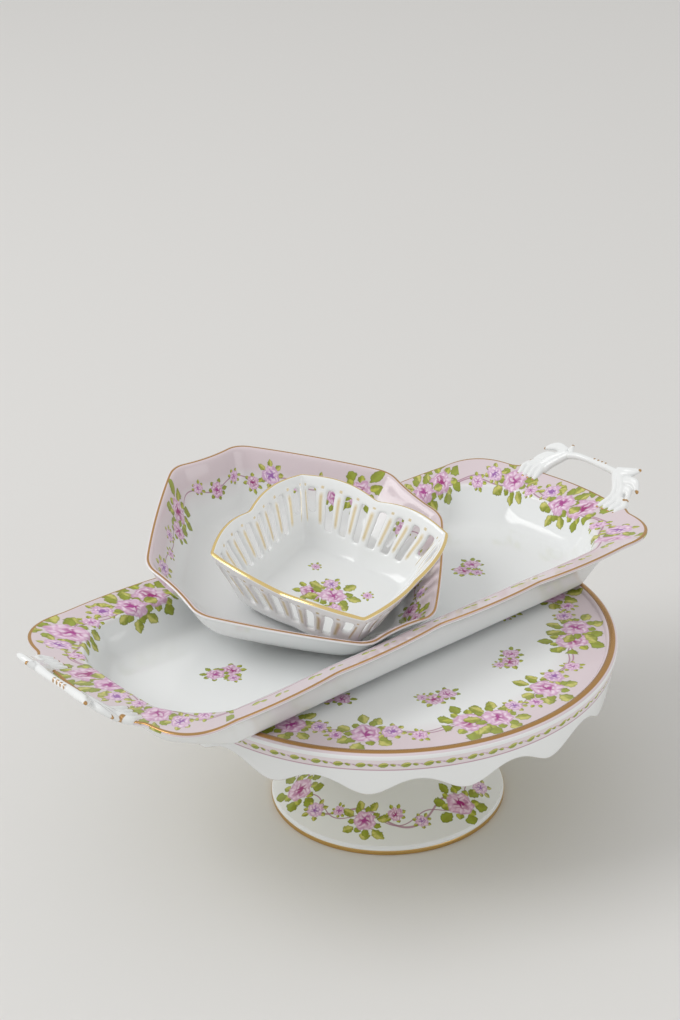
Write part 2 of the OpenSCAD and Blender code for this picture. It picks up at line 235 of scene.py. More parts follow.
def makeFoot(f):
    shoulder, edgeTop = f["radius"] - f["step"], f["edgeHeight"]
    low = edgeTop + 3

    def flare(t):
        return f["neck"] + (shoulder - f["neck"]) * (1 - t) ** 2.6

    def throat(t):
        return f["neck"] + (f["collar"] - f["neck"]) * t ** 2.4
    edge = [(f["radius"] - 1, 0), (f["radius"] - 0.2, 0.4), (f["radius"], 1.1), (f["radius"], edgeTop - 0.8),
            (f["radius"] - 0.3, edgeTop - 0.1), (shoulder + 0.2, edgeTop + 0.3),
            (shoulder - 0.1, edgeTop + 1), (shoulder + 0.1, edgeTop + 2.2)]
    spread = [(flare(i / 24), mixed(low, f["neckHeight"], i / 24)) for i in range(25)]
    neck = [(throat(i / 10), mixed(f["neckHeight"], f["top"], i / 10)) for i in range(1, 11)]
    inside = [(r - f["wall"], z) for r, z in reversed(neck)]
    inside += [(flare(i / 24) - f["wall"], mixed(low, f["neckHeight"], i / 24) - f["wall"] * (1 - i / 24))
               for i in range(24, 0, -1)]
    inside += [(shoulder - f["wall"], 0)]
    profile = edge + spread + neck + inside
    rings = [circle(r, z, f["round"]) for r, z in profile]
    rings.append(rings[0])
    around = [f["garland"] * 2 * math.pi * i / f["round"] for i in range(f["round"] + 1)]
    upward = profileLengths(profile, 0)
    piece = pullShell("PedestalFoot", rings, around, upward + [upward[-1] + 4])
    bpy.ops.object.mode_set(mode="EDIT")
    bpy.ops.mesh.select_all(action="SELECT")
    bpy.ops.mesh.remove_doubles(threshold=0.00001)
    faceOut()
    return smoothed(piece, 0, 40)


# ---- tray -------------------------------------------------------------------------------------

trayLow, trayHigh = [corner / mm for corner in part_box("tray_body")]
tray = {"x": (trayLow.x + trayHigh.x) / 2, "y": (trayLow.y + trayHigh.y) / 2, "z": trayLow.z,
        "end": (trayHigh.x - trayLow.x) / 2, "height": trayHigh.z - trayLow.z, "rimY": 94.6,
        "baseLength": 376, "baseWidth": 138, "baseCut": 30, "floor": 4.2, "lip": 2.6, "waist": 4.8,
        "lobe": 2.3, "notchEnd": 48, "corner": 14.5, "endWidth": 92, "endSwell": 2.4, "root": 31,
        "flange": 25.6}


def trayRing(t, out, z, inset):
    # one level of the tray, from the base's eight-sided outline at out 0 to the lobed rim at out 1
    bl, bw, cut = t["baseLength"] / 2 - inset, t["baseWidth"] / 2 - inset, t["baseCut"]
    notch, draw, flat = t["end"] - t["notchEnd"], t["waist"] * 0.2, bw - cut - 6
    mid = notch * 0.52
    base = [(-(bl - cut), -bw, 0.2), (-(bl - cut) * 0.52, draw * 0.5 - bw, 0.2), (0, draw - bw, 0.2),
            ((bl - cut) * 0.52, draw * 0.5 - bw, 0.2), (bl - cut, -bw, 1.5), (bl - 2, cut - bw, 0.4),
            (bl, -flat, 0.2), (bl + 0.6, -flat * 0.75, 0.2), (bl + 0.6, flat * 0.75, 0.2), (bl, flat, 0.4),
            (bl - 2, bw - cut, 1.5)]
    rim = [(-notch, -t["rimY"], t["lobe"]), (-mid, t["waist"] * 0.48 - t["rimY"], t["lobe"]),
           (0, t["waist"] - t["rimY"], t["lobe"]), (mid, t["waist"] * 0.48 - t["rimY"], t["lobe"]),
           (notch, -t["rimY"], t["corner"]), (t["end"] - 6.5, -t["endWidth"] / 2 - 14, 1.5),
           (t["end"], -t["endWidth"] / 2, 0), (t["end"], -t["root"], t["endSwell"]), (t["end"], t["root"], 0),
           (t["end"], t["endWidth"] / 2, 1.5), (t["end"] - 6.5, t["endWidth"] / 2 + 14, t["corner"])]
    points = [12, 12, 12, 12, 16, 3, 2, 12, 2, 3, 16]
    half = [tuple(mixed(b, r, out) for b, r in zip(low, high)) + (n,)
            for low, high, n in zip(base, rim, points)]
    return raised(outlined(half + [(-x, -y, s, n) for x, y, s, n in half]), z)


def makeTray(t):
    top, lip = t["height"], t["lip"]
    steps = [(0, 0, 3), (0, 0, 0.8), (0.02, 0.7, 0), (0.12, 6, 0), (0.28, 15, 0), (0.46, 23, 0),
             (0.74, top - lip - 4, 0), (0.96, top - lip - 0.9, 0), (1, top - lip - 0.2, 0), (1, top - 0.9, 0),
             (0.995, top - 0.25, 0), (0.975, top, 0), (0.94, top - 0.1, 0), (0.78, top - 1.6, 0),
             (0.6, top - 3.2, 0), (0.44, top - 4.6, 0), (0.3, top - 5.8, 0), (0.22, top - 6.6, 0),
             (0.185, top - 7.6, 0), (0.17, top - 9.4, 0), (0.1, top - 16, 0), (0.03, 13.5, 0.5), (0, 9, 2.6),
             (0, 6.6, 4.6), (0, 5, 7.4), (0, t["floor"] + 0.1, 11), (0, t["floor"], 17), (0, t["floor"], 28)]
    rings = [trayRing(t, out, z, inset) for out, z, inset in steps]
    middle = Vector((t["x"], t["y"], t["z"])) * mm
    crest = steps.index((0.975, top, 0))
    inward = profileLengths([(out * t["flange"] - inset, z) for out, z, inset in steps], crest)
    piece = pullShell("ServingTray", rings, spreadAlong(rings[crest + 3]), inward, Matrix.Translation(middle))
    return smoothed(piece, 1, 50)


# ---- handles ----------------------------------------------------------------------------------

# gold holds the places that the brush touches, as (u, v, radius)
handle = {"lean": 48, "leg": 40, "reach": 24, "sunk": 0.6, "grain": 0.5,
          "gold": [(-47, 20, 1.8), (-51, 7.5, 1.8), (-58, -1, 2.2)]
          + [(44, 32, 1.8), (52, 14.5, 1.8), (48.5, 5, 1.8)]
          + [(s * (33.4 + 5.2 * n), -10.4, 2.2) for s in (-1, 1) for n in range(4)]
          + [(-24, 31, 1.6)] + [(u, 26.6, 1.1) for u in (2, 5.8, 9.6, 13.4)]}


def handlePlace(side):
    # u runs along the rim, v up the lean and w off the handle's face
    lean = math.radians(90 - handle["lean"])
    endZ = tray["z"] + tray["height"] - tray["lip"] / 2 - handle["sunk"]
    turn = Matrix.Rotation(math.radians(90 if side < 0 else -90), 4, "Z")
    spot = Vector((tray["x"] + side * tray["end"], tray["y"], 0)) * mm
    flip = Matrix.Scale(side, 4, (1, 0, 0))
    stand = Matrix.Translation((0, 0, endZ * mm)) @ Matrix.Rotation(lean, 4, "X")
    return Matrix.Translation(spot) @ turn @ stand @ flip


def limb(points, place):
    # a tapering roll of clay along (u, v, w, radius), in millimetres
    bpy.ops.curve.primitive_nurbs_path_add()
    roll = bpy.context.object
    curve = roll.data
    curve.splines.clear()
    spline = curve.splines.new("BEZIER")
    spline.bezier_points.add(len(points) - 1)
    for knot, (u, v, w, radius) in zip(spline.bezier_points, points):
        knot.co = place @ (Vector((u, v, w)) * mm)
        knot.handle_left_type = knot.handle_right_type = "AUTO"
        knot.radius = radius
    curve.dimensions = "3D"
    curve.bevel_depth = mm
    curve.bevel_resolution = 3
    curve.resolution_u = 6
    curve.use_fill_caps = True
    roll.location = (0, 0, 0)
    bpy.ops.object.convert(target="MESH")
    return bpy.context.object


def makeHandle(name, side, h):
    # the far leg carries low leaves, the near leg a raised lobe, and each ends in a claw on the flange
    place = handlePlace(side)
    leg, reach = h["leg"], h["reach"]
    rolls = [[(13 - leg, reach - 4, 0, 3), (24 - leg, reach - 0.6, 0.2, 2.9), (-8, reach + 0.3, 0, 2.5),
              (6, reach, 0, 2.5), (leg - 22, reach - 0.5, 0.2, 2.8), (leg - 12, reach - 1, 0, 3.1)],
             [(-22, reach + 1, 0, 2.4), (-23.5, reach + 4, -0.2, 1.9), (-24, reach + 7, -0.4, 1.2)]]
    for off in (-3.2, 2.4):
        rolls.append([(1 - leg + off, 0, 0.4, 3.4), (5 - leg + off, 9, 0.4, 3.3),
                      (11 - leg + off, reach - 7, 0.4, 3.2), (17 - leg + off * 0.5, reach - 1, 0.3, 3)])
        rolls.append([(leg - 1 + off, 0, 0.4, 3.4), (leg - 2 + off, 9, 0.4, 3.3),
                      (leg - 7 + off, reach - 7, 0.5, 3.4), (leg - 13 + off * 0.5, reach - 1, 0.3, 3.4)])
    for u in (0.5, 4.2, 8, 11.8):
        rolls.append([(u, reach + 1.8, 0.4, 1), (u + 1.6, reach + 2.4, 0.6, 1.1),
                      (u + 2.8, reach + 1.8, 0.6, 0.9)])
    for root, knee, tip, fat in (
            ((15 - leg, reach), (5 - leg, reach + 1), (-leg - 7, reach - 4), 2.6),
            ((11 - leg, reach - 7), (-leg, reach - 9), (-leg - 11, reach - 17), 2.6),
            ((6 - leg, reach - 14), (-leg - 6, reach - 18), (-leg - 18, reach - 24.5), 2.4),
            ((leg - 14, reach), (leg - 5, reach + 2), (leg + 4, reach + 8), 3.2),
            ((leg - 6, reach - 6), (leg + 6, reach - 3.5), (leg + 12.5, reach - 10), 2.6),
            ((leg - 4, reach - 13), (leg + 5, reach - 11), (leg + 9, reach - 19), 2.4)):
        thinning = mixed(knee[0], tip[0], 0.6), mixed(knee[1], tip[1], 0.5)
        for spread in (-1.4, 1.4):
            rolls.append([(root[0], root[1] + spread * 0.5, 0.2, fat),
                          (knee[0], knee[1] + spread, 0.6, fat * 0.9),
                          (thinning[0], thinning[1] + spread * 0.7, 0.2, fat * 0.65),
                          (tip[0], tip[1] + spread * 0.2, -0.6, 0.8)])
    for s in (-1, 1):
        for n in range(4):
            inner = leg - 6 + 5.2 * n
            rolls.append([(s * (leg - 4 + n * 2.6), 7 - n * 0.8, 0.6, 2.8),
                          (s * (inner + 1.4), 0.5, 2.4, 2.9), (s * inner, -5.4, 4.6, 2.6),
                          (s * (inner - 0.6), -10.4, 6.8, 1.6)])
    parts = [limb(points, place) for points in rolls]
    for part in parts:
        part.select_set(True)
    bpy.context.view_layer.objects.active = parts[0]
    bpy.ops.object.join()
    piece = bpy.context.object
    piece.name = name
    bpy.ops.object.transform_apply(location=True, rotation=True, scale=True)
    # the rolls become one body of clay, which is then sponged
    worked(piece, "REMESH", mode="VOXEL", voxel_size=h["grain"] * mm)
    worked(piece, "SMOOTH", factor=0.5, iterations=5)
    gilt = piece.data.attributes.new("gilt", "FLOAT", "POINT")
    level = place.inverted()
    for vert, mark in zip(piece.data.vertices, gilt.data):
        spot = level @ vert.co / mm
        mark.value = max(max(0, min(1, (r - (spot.xy - Vector((u, v))).length) * 2)) for u, v, r in h["gold"])
    return smoothed(piece, 0, 180)


# ---- dish and basket --------------------------------------------------------------------------

dish = {"x": -31.5, "heel": -24.5, "width": 199.5, "cut": 44, "round": 8, "height": 40, "base": 125 / 199.5,
        "floor": 4, "wall": 4, "bow": 1.5, "hollow": 2, "turn": -44.7, "rest": 0.3}


def onTray():
    # the dish leans from its heel on the tray's floor to its back on the tray's rim
    rimCrest = mixed(tray["baseWidth"] / 2, tray["rimY"] - tray["waist"], 0.96)
    tilt = math.atan2(tray["height"] - tray["floor"], rimCrest - dish["heel"])
    reach = (dish["width"] - dish["cut"]) / math.sqrt(2) * dish["base"]
    heel = Vector((dish["x"], tray["y"] + dish["heel"], tray["z"] + tray["floor"] + dish["rest"])) * mm
    return Matrix.Translation(heel) @ Matrix.Rotation(tilt, 4, "X") @ Matrix.Translation((0, reach * mm, 0))


def dishRing(d, k, z):
    # four long sides and four cut corners, each meeting of them eased
    a, b, ease = d["width"] / 2, d["width"] / 2 - d["cut"], d["round"]
    slant = ease / math.sqrt(2)
    corners = []
    for q in range(4):
        turn = Matrix.Rotation(math.radians(90 * q), 2)
        for x, y, swell, count in (
                (ease - b, -a, d["bow"], 12), (b - ease, -a, ease * 0.16, 4),
                (b + slant, slant - a, -d["hollow"], 8), (a - slant, -b - slant, ease * 0.16, 4)):
            spot = turn @ Vector((x, y)) * k
            corners.append((spot.x, spot.y, swell * k, count))
    return raised(outlined(corners), z)


def dishShare(d, z):
    # share of the rim's width that the outside has at height z
    return d["base"] + (1 - d["base"]) * (max(z, 0) / d["height"]) ** 0.58


def makeDish(d):
    level, top = d["wall"] / (d["width"] / 2), d["height"]
    steps = [(d["base"] * 0.5, 0), (d["base"] * 0.9, 0), (d["base"], 0)]
    steps += [(dishShare(d, z), z) for z in (0.8, 2.5, 5, 8, 12, 17, 22, 27, 32, top - 2.4)]
    steps += [(1, top - 0.9), (1 - 0.15 * level, top - 0.2), (1 - 0.5 * level, top)]
    crest = len(steps) - 1
    steps += [(1 - 0.85 * level, top - 0.25)]
    steps += [(dishShare(d, z) - level, z) for z in (top - 1.4, 35, 30, 25, 20, 15, 11.5, 8.5)]
    steps += [(dishShare(d, 6) - level, 6.2), (dishShare(d, 4) - level * 1.1, 4.9),
              (dishShare(d, 2) - level * 1.3, d["floor"] + 0.2), (d["base"] - level * 1.5, d["floor"]),
              (d["base"] * 0.6, d["floor"])]
    rings = [dishRing(d, k, z) for k, z in steps]
    inward = profileLengths([(k * d["width"] / 2, z) for k, z in steps], crest)
    place = onTray() @ Matrix.Rotation(math.radians(d["turn"]), 4, "Z")
    piece = pullShell("CornerDish", rings, spreadAlong(rings[crest + 3]), inward, place)
    return smoothed(piece, 1, 60)


basket = {"x": 2.5, "y": -32.5, "seat": 10.27, "turn": -69.8, "ease": 3.7, "tip": 1.4, "width": 121,
          "height": 46, "base": 81, "swell": 7, "dip": 2.5, "crest": 2, "wall": 3.4, "slots": 8,
          "slotWide": 4.4, "slotLow": 14.2, "slotHigh": 38.4, "endSlotLow": 24, "slotSpread": 1.09,
          "fan": 10, "fanFrom": 13.5, "noseLow": 7, "noseHigh": 3.4, "crestLine": 45.75}


def basketShare(z):
    # share of the way out from the underside's edge to the rim at height z
    steps = [(0, 0), (1.8, 0.12), (5.5, 0.25), (9.5, 0.33), (22, 0.54), (38, 0.86), (basket["height"], 1)]
    for (z0, s0), (z1, s1) in zip(steps, steps[1:]):
        if z <= z1:
            return mixed(s0, s1, (z - z0) / (z1 - z0))
    return 1


def basketColumns(b, z, out):
    # places across one side, from corner to corner: three to a slot and one to each rib
    radius = mixed(b["base"] / 2, b["width"] / 2, out)
    half = radius - mixed(b["noseLow"], b["noseHigh"], out)
    pitch = b["base"] * b["slotSpread"] / (b["slots"] - 1)
    places = []
    for i in range(b["slots"]):
        x = (i - (b["slots"] - 1) / 2) * pitch
        lean = math.tan(math.radians(x / b["base"] * 2 * b["fan"]))
        centre = x + (max(min(z, 42), 8) - b["fanFrom"]) * lean
        wide = b["slotWide"] / 2 * 1.2
        places += [centre - wide, centre, centre + wide]
        if i < b["slots"] - 1:
            places += [centre + pitch * 0.53]
    squeeze = min(1, (half - 0.8) / places[-1])
    return [-half] + [x * squeeze for x in places] + [half], half, radius


def basketRing(b, z, wave, shrink=1):
    # four swelling sides that meet in eased noses; wave is the share of the rim's rise and fall
    out = basketShare(z)
    places, half, radius = basketColumns(b, z, out)
    s, nose = b["swell"] * out, mixed(b["noseLow"], b["noseHigh"], out)
    ring = []
    for q in range(4):
        turn = Matrix.Rotation(math.radians(90 * q), 4, "Z")
        side = []
        for x in places:
            t = min(1, abs(x) / half)
            y = -mixed(radius + s * 0.85, radius, t) - (s * 0.58 + 1) * 4 * t * (1 - t) * 0.9
            lift = wave * (b["crest"] * math.sin(math.pi * t) - b["dip"] * (1 - t) ** 3)
            side.append(Vector((x * shrink, y * shrink, z + lift)))
        side.append(Vector(((radius - nose * 0.3) * shrink, (nose * 0.3 - radius) * shrink, z)))
        ring += [turn @ point for point in side]
    return ring


def basketPlace(b):
    pose = (Matrix.Rotation(math.radians(-b["tip"]), 4, "Y")
            @ Matrix.Rotation(math.radians(-b["ease"]), 4, "X")
            @ Matrix.Rotation(math.radians(b["turn"]), 4, "Z"))
    return onTray() @ Matrix.Translation(Vector((b["x"], b["y"], b["seat"])) * mm) @ pose


def makeBasket(b):
    # three rings across the floor, then the wall; along counts slots round the wall, a rib lying at each half
    floorShares, floorAcross = [0.3, 0.62, 0.9], [-34, -20, -8]
    heights = [0, 1.4, 3.6, 6.5, 9.5, 12, 14.2, 16.4, 20, 24, 28, 32, 35.6, 38.4, 41, 43.4, 45.2, 46]
    waves = [0] * 13 + [0.35, 0.6, 0.8, 0.95, 1]
    rings = [basketRing(b, 0, 0, k) for k in floorShares]
    rings += [basketRing(b, z, wave) for z, wave in zip(heights, waves)]
    count = len(rings[0])
    perSide, sideSteps = count // 4, b["slots"] + 1
    along = [i // perSide * sideSteps + (i % perSide - 2) / 4 for i in range(count)] + [4 * sideSteps]
    piece = pullShell("PiercedBasket", rings, along, floorAcross + heights, basketPlace(b))
    closeRing(piece, count, perSide)
    slotRows = [heights.index(z) + len(floorShares) for z in (b["slotLow"], b["slotHigh"], b["endSlotLow"])]
    cutSlots(piece, count, perSide, *slotRows)
    # the wall thins over the last three rings towards the rim
    thins = piece.vertex_groups.new(name="thins")
    rim = len(rings) - 1
    for vert in piece.data.vertices:
        row = vert.index // count
        thins.add([vert.index], {rim: 0.6, rim - 1: 0.75, rim - 2: 0.9}.get(row, 1.0), "REPLACE")
    worked(piece, "SOLIDIFY", thickness=b["wall"] * mm, offset=-1, use_even_offset=True,
           vertex_group=thins.name)
    return smoothed(piece, 1, 60)


def cutSlots(piece, count, perSide, low, high, endLow):
    # the faces between the slot columns come out from row low to row high, at the corners from endLow
    bpy.ops.object.mode_set(mode="EDIT")
    bpy.ops.mesh.select_mode(type="FACE")
    bpy.ops.mesh.select_all(action="DESELECT")
    mesh = bmesh.from_edit_mesh(piece.data)
    for face in mesh.faces:
        rows = [vert.index // count for vert in face.verts]
        columns = [vert.index % count % perSide for vert in face.verts]
        slot = (min(columns) - 1) % 4
        outer = min(columns) < 4 or min(columns) > perSide - 7
        if len(rows) == 4 and min(rows) >= (endLow if outer else low) and max(rows) <= high:
            if max(columns) - min(columns) == 1 and slot in (0, 1) and 1 <= min(columns) < perSide - 3:
                face.select = True
    bmesh.update_edit_mesh(piece.data)
    bpy.ops.mesh.delete(type="FACE")
    bpy.ops.object.mode_set(mode="OBJECT")


# ---- painted decor ----------------------------------------------------------------------------

def colour(code):
    # sRGB hex to the linear values that the shaders take
    parts = [int(code[i:i + 2], 16) / 255 for i in (1, 3, 5)]
    return tuple(c / 12.92 if c <= 0.04045 else ((c + 0.055) / 1.055) ** 2.4 for c in parts) + (1,)


def add(tree, kind, inputs, out=0, **settings):
    # one node with its settings, inputs by number or name; returns the output asked for
    made = tree.nodes.new("ShaderNode" + kind)
    for setting, value in settings.items():
        setattr(made, setting, value)
    for socket, value in inputs.items():
        if isinstance(value, bpy.types.NodeSocket):
            tree.links.new(value, made.inputs[socket])
        else:
            made.inputs[socket].default_value = value
    return made.outputs[out]


def startMotif(name):
    # a motif takes the colour so far and gives it back with itself on top; near is the place seen from
    # its own spot, in its own size and turn
    group = bpy.data.node_groups.new(name, "ShaderNodeTree")
    group.interface.new_socket("Result", in_out="OUTPUT", socket_type="NodeSocketColor")
    for socket, kind in (("Under", "Color"), ("Place", "Vector"), ("Spot", "Vector"), ("Shrink", "Float"),
                         ("Turn", "Float"), ("Tint", "Color")):
        group.interface.new_socket(socket, in_out="INPUT", socket_type="NodeSocket" + kind)
    given = group.nodes.new("NodeGroupInput")
    place, spot, turn = given.outputs["Place"], given.outputs["Spot"], given.outputs["Turn"]
    near = add(group, "VectorMath", {0: place, 1: spot}, operation="SUBTRACT")
    near = add(group, "VectorMath", {0: near, "Scale": given.outputs["Shrink"]}, operation="SCALE")
    near = add(group, "VectorRotate", {"Vector": near, "Angle": turn}, rotation_type="Z_AXIS")
    return group, given, near


def endMotif(group, given, cover, drawn):
    over = add(group, "Mix", {0: cover, 6: given.outputs["Under"], 7: drawn}, 2, data_type="RGBA")
    result = group.nodes.new("NodeGroupOutput")
    group.links.new(over, result.inputs[0])
    return group


def paintRose():
    # a ruffled round bloom, dark between its petals and pale along their folds
    group, given, near = startMotif("Rose")
    shift = add(group, "VectorMath", {0: near, 1: given.outputs["Spot"]}, operation="ADD")
    wobble = add(group, "TexNoise", {"Vector": shift, "Scale": 1.7, "Detail": 1.0}, 1, noise_dimensions="2D")
    bent = add(group, "VectorMath", {0: wobble, 1: (0.62, 0.62, 0), 2: near}, operation="MULTIPLY_ADD")
    bent = add(group, "VectorMath", {0: bent, 1: (0.31, 0.31, 0)}, operation="SUBTRACT")
    reach = add(group, "VectorMath", {0: bent}, 1, operation="LENGTH")
    cover = add(group, "MapRange", {0: reach, 1: 0.98, 2: 0.88, 3: 0.0, 4: 1.0})
    cell = add(group, "TexVoronoi", {"Vector": bent, "Scale": 2.3}, 0, feature="DISTANCE_TO_EDGE",
               voronoi_dimensions="2D")
    fold = add(group, "MapRange", {0: cell, 1: 0.0, 2: 0.2, 3: 0.85, 4: 0.0})
    depth = add(group, "MapRange", {0: reach, 1: 0.06, 2: 0.66, 3: 0.92, 4: 0.05},
                interpolation_type="SMOOTHSTEP")
    spiral = add(group, "Math", {0: reach, 1: 17.0}, operation="MULTIPLY")
    spiral = add(group, "Math", {0: spiral}, operation="SINE")
    spiral = add(group, "Math", {0: spiral, 1: 0.12, 2: depth}, operation="MULTIPLY_ADD")
    strong = add(group, "Math", {0: depth, 1: 0.4, 2: 0.42}, operation="MULTIPLY_ADD")
    fold = add(group, "Math", {0: fold, 1: strong}, operation="MULTIPLY")
    shade = add(group, "Math", {0: fold, 1: 0.7, 2: spiral}, operation="MULTIPLY_ADD", use_clamp=True)
    petal = add(group, "Mix", {0: shade, 6: colour("#E4C3DB"), 7: given.outputs["Tint"]}, 2, data_type="RGBA")
    light = add(group, "MapRange", {0: cell, 1: 0.2, 2: 0.34, 3: 0.0, 4: 0.6})
    petal = add(group, "Mix", {0: light, 6: petal, 7: colour("#F4E8F0")}, 2, data_type="RGBA")
    edge = add(group, "MapRange", {0: reach, 1: 0.78, 2: 0.96, 3: 0.0, 4: 0.55})
    petal = add(group, "Mix", {0: edge, 6: petal, 7: colour("#B889AE")}, 2, data_type="RGBA")
    return endMotif(group, given, cover, petal)


bigLeaf = {"broad": 1.25, "grain": 6.0, "ragged": 0.12, "edge": (-0.06, -0.02), "shaded": 1.0,
           "dark": "#94A045", "rim": (-0.03, 0.05, 0.55), "ink": "#7E8A3C"}
sprayLeaf = {"broad": 1.2, "grain": 5.0, "ragged": 0.2, "edge": (-0.1, -0.06), "shaded": 0.8,
             "dark": "#8E9632", "rim": (-0.07, 0.02, 0.6), "ink": "#6B7429"}


def paintBlade(group, given, near, along, across, b):
    # one leaf from along 0 to 1, darker on one side of its vein and inked round its edge
    rest = add(group, "Math", {0: 1.0, 1: along}, operation="SUBTRACT")
    width = add(group, "Math", {0: along, 1: rest}, operation="MULTIPLY")
    width = add(group, "Math", {0: width, 1: b["broad"]}, operation="MULTIPLY")
    grain = add(group, "TexNoise", {"Vector": near, "Scale": b["grain"], "Detail": 1.0}, 0,
                noise_dimensions="2D")
    away = add(group, "Math", {0: across}, operation="ABSOLUTE")
    away = add(group, "Math", {0: grain, 1: b["ragged"], 2: away}, operation="MULTIPLY_ADD")
    room = add(group, "Math", {0: width, 1: away}, operation="SUBTRACT")
    cover = add(group, "MapRange", {0: room, 1: b["edge"][0], 2: b["edge"][1], 3: 0.0, 4: 1.0})
    half = add(group, "MapRange", {0: across, 1: -0.05, 2: 0.05, 3: 0.0, 4: b["shaded"]})
    shade = add(group, "Math", {0: grain, 1: 0.9, 2: half}, operation="MULTIPLY_ADD")
    shade = add(group, "Math", {0: shade, 1: 0.35}, operation="SUBTRACT", use_clamp=True)
    tint = given.outputs["Tint"]
    blade = add(group, "Mix", {0: shade, 6: tint, 7: colour(b["dark"])}, 2, data_type="RGBA")
    rim = add(group, "MapRange", {0: room, 1: b["rim"][0], 2: b["rim"][1], 3: b["rim"][2], 4: 0.0})
    blade = add(group, "Mix", {0: rim, 6: blade, 7: colour(b["ink"])}, 2, data_type="RGBA")
    return endMotif(group, given, cover, blade)


def paintLeaf():
    group, given, near = startMotif("Leaf")
    along = add(group, "SeparateXYZ", {0: near})
    return paintBlade(group, given, near, along, along.node.outputs[1], bigLeaf)


def paintSpray():
    # seven leaves round a spot, each with its own length and lean
    group, given, near = startMotif("Spray")
    x = add(group, "SeparateXYZ", {0: near})
    angle = add(group, "Math", {0: x.node.outputs[1], 1: x}, operation="ARCTAN2")
    part = add(group, "Math", {0: angle, 1: 7 / (2 * math.pi), 2: 3.5}, operation="MULTIPLY_ADD")
    which = add(group, "Math", {0: part}, operation="FLOOR")
    which = add(group, "CombineXYZ", {0: which})
    which = add(group, "VectorMath", {0: which, 1: given.outputs["Spot"]}, operation="ADD")
    chance = add(group, "TexWhiteNoise", {"Vector": which}, 0, noise_dimensions="3D")
    lean = add(group, "Math", {0: part}, operation="FRACT")
    lean = add(group, "Math", {0: chance, 1: -0.5, 2: lean}, operation="MULTIPLY_ADD")
    lean = add(group, "Math", {0: lean, 1: 0.25}, operation="SUBTRACT")
    lean = add(group, "Math", {0: lean, 1: 2 * math.pi / 7}, operation="MULTIPLY")
    reach = add(group, "VectorMath", {0: near}, 1, operation="LENGTH")
    along = add(group, "Math", {0: lean}, operation="COSINE")
    along = add(group, "Math", {0: along, 1: reach}, operation="MULTIPLY")
    across = add(group, "Math", {0: lean}, operation="SINE")
    across = add(group, "Math", {0: across, 1: reach}, operation="MULTIPLY")
    long = add(group, "Math", {0: chance, 1: 0.7, 2: 0.95}, operation="MULTIPLY_ADD")
    along = add(group, "Math", {0: along, 1: 0.72}, operation="SUBTRACT")
    along = add(group, "Math", {0: along, 1: long}, operation="MULTIPLY")
    return paintBlade(group, given, near, along, across, sprayLeaf)


motifs = {"rose": paintRose(), "leaf": paintLeaf(), "spray": paintSpray()}
roseTints = [colour(code) for code in ("#9E2A74", "#A83E8C", "#9A62AA", "#B067A6")]
leafTints = [colour(code) for code in ("#BEC252", "#98A43C", "#CCC870")]


def stamp(tree, kind, under, place, x, y, size, turn=0.0, tint=0):
    tints = roseTints if kind == "rose" else leafTints
    return add(tree, "Group", {"Under": under, "Place": place, "Spot": (x, y, 0), "Shrink": 1 / size,
                               "Turn": math.radians(-turn), "Tint": tints[tint % len(tints)]},
               node_tree=motifs[kind])


def garland(tree, under, place, roses):
    # each rose (x, y, size, tint, leaves, start) on one or two rounds of leaves, turned from start
    for x, y, size, tint, leaves, start in roses:
        for i in reversed(range(leaves)):
            wide = size * (1.0 + 0.42 * i)
            under = stamp(tree, "spray", under, place, x, y, wide, start + 31 * i, i + tint)
        under = stamp(tree, "rose", under, place, x, y, size, start * 3.0 + x, tint)
    return under


def stem(tree, under, place, tile, height, lift, wide, shift, tone):
    # a thin wavy line along a border
    along = add(tree, "SeparateXYZ", {0: place})
    across = along.node.outputs[1]
    wave = add(tree, "Math", {0: along, 1: 2 * math.pi / tile, 2: shift}, operation="MULTIPLY_ADD")
    wave = add(tree, "Math", {0: wave}, operation="SINE")
    wave = add(tree, "Math", {0: wave, 1: height, 2: lift}, operation="MULTIPLY_ADD")
    gap = add(tree, "Math", {0: across, 1: wave}, operation="SUBTRACT")
    gap = add(tree, "Math", {0: gap}, operation="ABSOLUTE")
    cover = add(tree, "MapRange", {0: gap, 1: wide * 0.75, 2: wide * 0.35, 3: 0.0, 4: 0.85})
    return add(tree, "Mix", {0: cover, 6: under, 7: colour(tone)}, 2, data_type="RGBA")


def blended(tree, under, value, stops, tone):
    # a second colour laid over, from stops (value, cover) along a running value
    low, high = stops[0][0], stops[-1][0]
    where = add(tree, "MapRange", {0: value, 1: low, 2: high, 3: 0.0, 4: 1.0})
    ramp = tree.nodes.new("ShaderNodeValToRGB")
    tree.links.new(where, ramp.inputs[0])
    marks = ramp.color_ramp.elements
    for i, (at, cover) in enumerate(stops):
        mark = marks[i] if i < 2 else marks.new(1)
        mark.position = (at - low) / (high - low)
        mark.color = (cover, cover, cover, 1)
    return add(tree, "Mix", {0: ramp.outputs[0], 6: under, 7: colour(tone)}, 2, data_type="RGBA")


def bordered(tree, source, tile, line, first=0.0):
    # running place along a border, which starts again at every tile; line is how far across its middle
    # lies, and first where a tile starts
    along = add(tree, "SeparateXYZ", {0: source})
    across = along.node.outputs[1]
    ahead = add(tree, "Math", {0: along, 1: first}, operation="SUBTRACT")
    ahead = add(tree, "Math", {0: ahead, 1: tile}, operation="FLOORED_MODULO")
    side = add(tree, "Math", {0: across, 1: line}, operation="SUBTRACT")
    return add(tree, "CombineXYZ", {0: ahead, 1: side})


